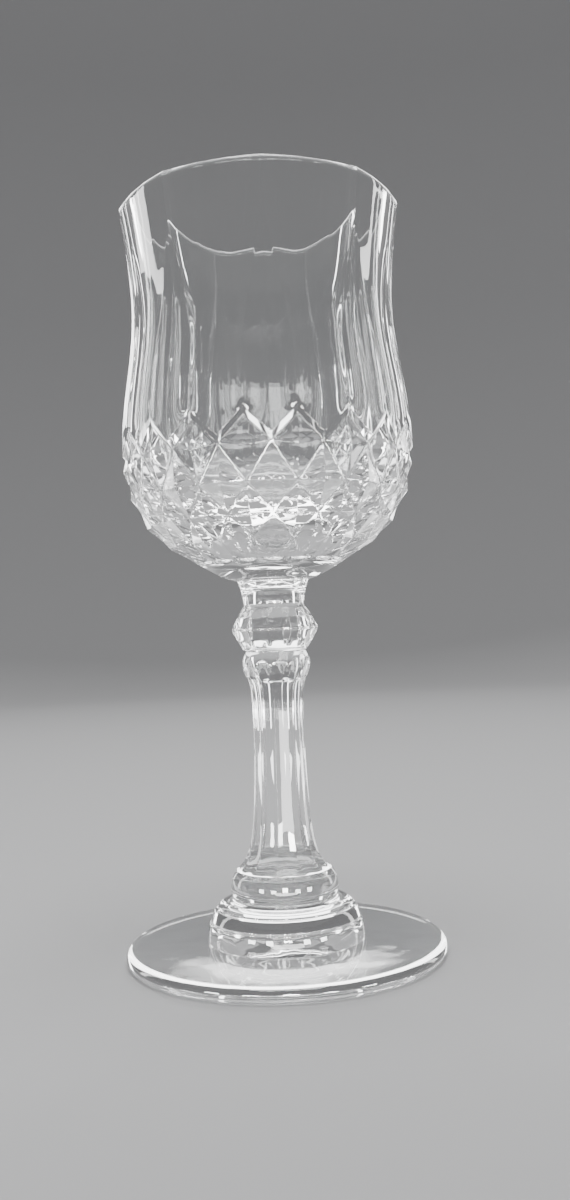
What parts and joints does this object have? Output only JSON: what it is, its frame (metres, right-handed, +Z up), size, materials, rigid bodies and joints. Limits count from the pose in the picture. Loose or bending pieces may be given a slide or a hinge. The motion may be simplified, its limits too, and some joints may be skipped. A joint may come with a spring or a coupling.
{
  "type": "wine glass",
  "caption": "Stemmed wine glass in clear pressed crystal: faceted bowl over a band of pointed diamonds, fluted stem with a knop and stepped base, plain round foot.",
  "frame": {"origin": "centre of the foot's underside, on the surface that the glass stands on", "axes": "+Z up along the stem's axis; one blade of the bowl's cut pattern faces -Y"},
  "size_m": [0.0688, 0.0688, 0.162],
  "materials": {
    "foot_glass": "clear, fire polished, with a bright rounded edge",
    "stem_glass": "clear pressed crystal with softly rounded flute edges",
    "bowl_glass": "clear pressed crystal with sharp, polished cuts outside and a smooth inside"
  },
  "bodies": {
    "root": {"foot": "foot_glass", "stem": "stem_glass", "bowl": "bowl_glass"}
  },
  "joints": []
}
